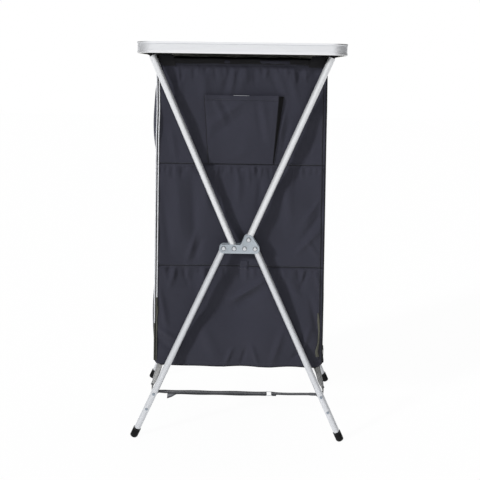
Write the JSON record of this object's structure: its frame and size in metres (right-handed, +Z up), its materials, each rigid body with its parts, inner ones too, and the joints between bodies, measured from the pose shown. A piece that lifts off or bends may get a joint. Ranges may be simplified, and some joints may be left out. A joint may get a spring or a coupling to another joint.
{
  "type": "camping storage unit",
  "caption": "Free-standing folding camp cupboard: framed tabletop on crossed tube frames with folding brackets, hanging fabric bag with shelves, door and pocket, webbing round the legs.",
  "frame": {"origin": "on the floor under the middle of the unit", "axes": "+Z up, +X to the right seen from the side with the patch pocket, +Y away from that side"},
  "size_m": [0.6446, 0.48, 1.17],
  "materials": {
    "edge_aluminium": "satin anodised extrusion",
    "tube_silver": "satin anodised drawn tube",
    "zinc_plate": "zinc plated pressing",
    "rivet_steel": "bright rivet",
    "black_plastic": "moulded, fine grain",
    "board_laminate": "laminated fibreboard",
    "bag_cloth": "coated polyester weave",
    "shelf_board": "cloth covered fibreboard",
    "webbing": "woven polypropylene webbing",
    "elastic": "braided elastic cord"
  },
  "bodies": {
    "root": {"right_top_rail": "tube_silver", "rail_fitting_near_right": "black_plastic", "rail_fitting_far_right": "black_plastic", "upper_tube_near_right": "tube_silver", "upper_tube_far_right": "tube_silver", "fold_plate_near_outer": "zinc_plate", "fold_plate_near_inner": "zinc_plate", "fold_plate_far_outer": "zinc_plate", "fold_plate_far_inner": "zinc_plate", "rivet_near_left_leg": "rivet_steel", "rivet_near_left_upper": "rivet_steel", "rivet_near_right_upper": "rivet_steel", "rivet_near_right_leg": "rivet_steel", "rivet_near_lock": "rivet_steel", "rivet_far_left_leg": "rivet_steel", "rivet_far_left_upper": "rivet_steel", "rivet_far_right_upper": "rivet_steel", "rivet_far_right_leg": "rivet_steel", "rivet_far_lock": "rivet_steel", "near_panel": "bag_cloth", "far_panel": "bag_cloth", "closed_side_panel": "bag_cloth", "door_header": "bag_cloth", "door_sheet": "bag_cloth", "patch_pocket": "bag_cloth", "bottom_shelf": "shelf_board", "middle_shelf": "shelf_board", "top_shelf": "shelf_board", "elastic_near_left": "elastic", "elastic_near_right": "elastic", "elastic_far_left": "elastic", "elastic_far_right": "elastic"},
    "left_upper": {"left_top_rail": "tube_silver", "rail_fitting_near_left": "black_plastic", "rail_fitting_far_left": "black_plastic", "upper_tube_near_left": "tube_silver", "upper_tube_far_left": "tube_silver"},
    "leg_left_near": {"lower_tube_near_left": "tube_silver", "foot_cap_near_left": "black_plastic", "strap_rivet_near_left": "rivet_steel", "strap_near_left": "webbing", "strap_left_side": "webbing", "strap_buckle": "zinc_plate"},
    "leg_right_near": {"lower_tube_near_right": "tube_silver", "foot_cap_near_right": "black_plastic", "strap_rivet_near_right": "rivet_steel", "strap_near_right": "webbing", "strap_right_side": "webbing"},
    "leg_left_far": {"lower_tube_far_left": "tube_silver", "foot_cap_far_left": "black_plastic", "strap_rivet_far_left": "rivet_steel", "strap_far": "webbing"},
    "leg_right_far": {"lower_tube_far_right": "tube_silver", "foot_cap_far_right": "black_plastic", "strap_rivet_far_right": "rivet_steel"},
    "tabletop": {"tabletop_board": "board_laminate", "edge_frame": "edge_aluminium"},
    "door": {"door_batten": "bag_cloth"}
  },
  "joints": [
    {"name": "frame_fold", "type": "hinge", "parent": "root", "child": "left_upper", "pos_m": [-0.015, 0, 0.5925], "axis": [0, 1, 0], "range_deg": [0, 46.34], "deforming": ["near_panel", "far_panel", "closed_side_panel", "door_header", "patch_pocket", "bottom_shelf", "middle_shelf", "top_shelf", "strap_near_left", "strap_near_right", "strap_left_side", "strap_right_side", "strap_far", "elastic_near_left", "elastic_near_right", "elastic_far_left", "elastic_far_right"]},
    {"name": "leg_left_near_fold", "type": "hinge", "parent": "root", "child": "leg_left_near", "pos_m": [-0.045, -0.202, 0.5925], "axis": [0, 1, 0], "range_deg": [0, 178.84]},
    {"name": "leg_left_far_fold", "type": "hinge", "parent": "root", "child": "leg_left_far", "pos_m": [-0.045, 0.202, 0.5925], "axis": [0, 1, 0], "range_deg": [0, 178.84]},
    {"name": "leg_right_near_fold", "type": "hinge", "parent": "root", "child": "leg_right_near", "pos_m": [0.045, -0.202, 0.5925], "axis": [0, 1, 0], "range_deg": [-132.5, 0]},
    {"name": "leg_right_far_fold", "type": "hinge", "parent": "root", "child": "leg_right_far", "pos_m": [0.045, 0.202, 0.5925], "axis": [0, 1, 0], "range_deg": [-132.5, 0]},
    {"name": "tabletop_lift", "type": "slide", "parent": "root", "child": "tabletop", "axis": [0, 0, 1], "range_m": [0, 0.3]},
    {"name": "door_roll", "type": "slide", "parent": "root", "child": "door", "axis": [-0.017, 0, 0.9999], "range_m": [0, 0.8], "deforming": ["door_sheet"]}
  ],
  "couplings": [
    {"joint": "leg_left_near_fold", "follows": "frame_fold", "ratio": 3.859},
    {"joint": "leg_left_far_fold", "follows": "frame_fold", "ratio": 3.859},
    {"joint": "leg_right_near_fold", "follows": "frame_fold", "ratio": -2.859},
    {"joint": "leg_right_far_fold", "follows": "frame_fold", "ratio": -2.859},
    {"joint": "tabletop_lift", "follows": "frame_fold", "m_per_rad": 0.36}
  ]
}
